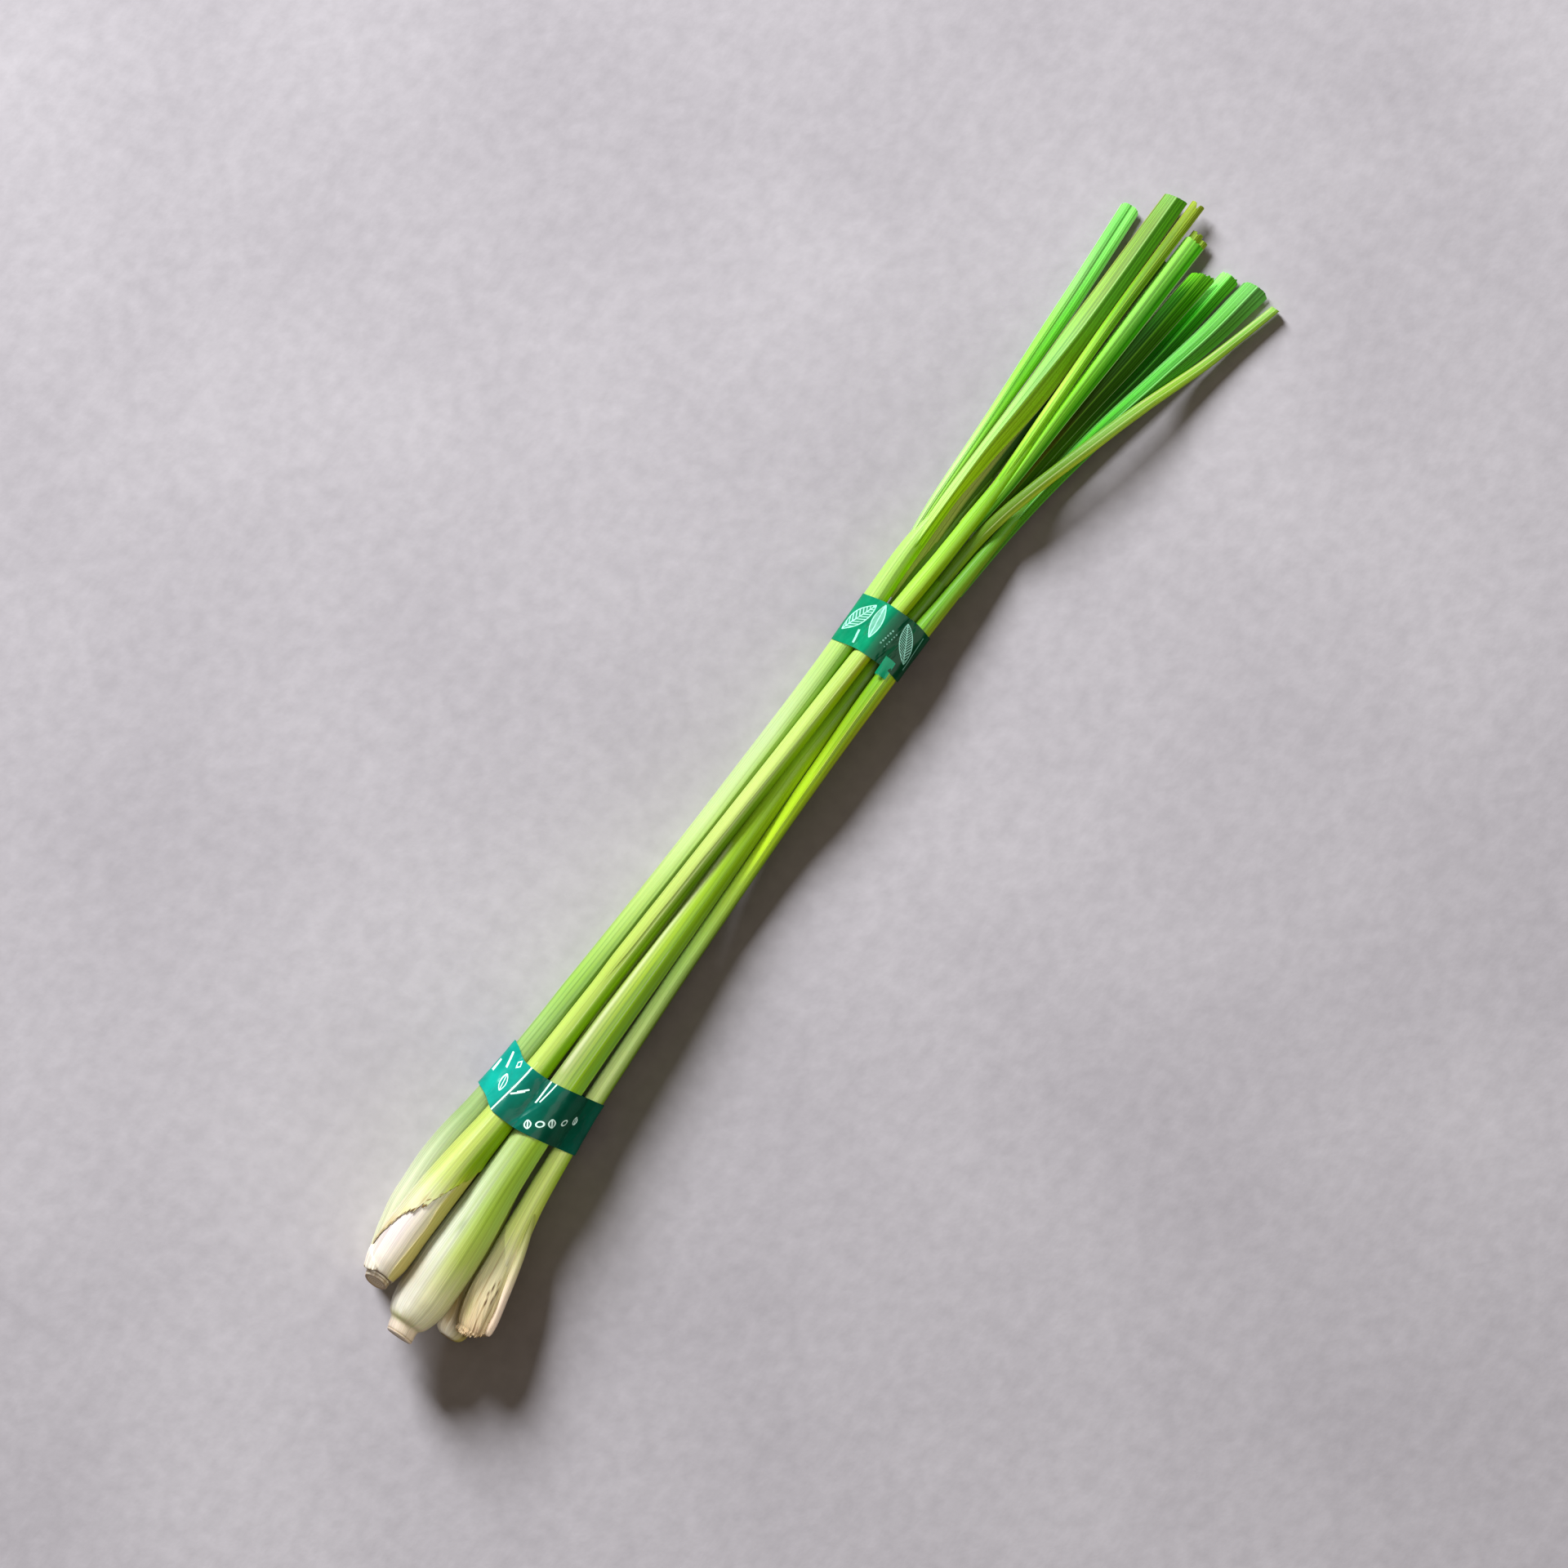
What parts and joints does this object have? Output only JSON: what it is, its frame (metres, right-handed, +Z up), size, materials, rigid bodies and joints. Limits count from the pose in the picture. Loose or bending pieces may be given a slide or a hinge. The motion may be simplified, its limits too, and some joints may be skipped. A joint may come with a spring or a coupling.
{
  "type": "tied bunch of lemongrass stalks",
  "caption": "Trimmed lemongrass stalks with pale bulbs and folded green leaf blades, tied by two printed plastic tapes and lying flat.",
  "frame": {"origin": "on the supporting surface, under the middle of the bunch's bounding box", "axes": "+X along the bunch from the cut root ends to the trimmed blade tips, +Y across it to the side of the torn front stalk, +Z up from the surface it lies on"},
  "size_m": [0.403, 0.0708, 0.024],
  "materials": {
    "stalk_left": "fresh pale green lemongrass, waxy",
    "stalk_front": "fresh yellow-green lemongrass with an ivory base, waxy",
    "stalk_centre": "fresh green lemongrass with an ivory bulb, waxy",
    "stalk_right": "fresh green lemongrass with a dry straw-coloured base, waxy",
    "stalk_under": "fresh green lemongrass with a pale beige base, waxy",
    "tape": "thin printed green produce tape, semi-gloss"
  },
  "bodies": {
    "root": {"stalk_left": "stalk_left", "stalk_front": "stalk_front", "stalk_centre": "stalk_centre", "stalk_right": "stalk_right", "stalk_under": "stalk_under", "band_lower": "tape", "band_upper": "tape"}
  },
  "joints": []
}
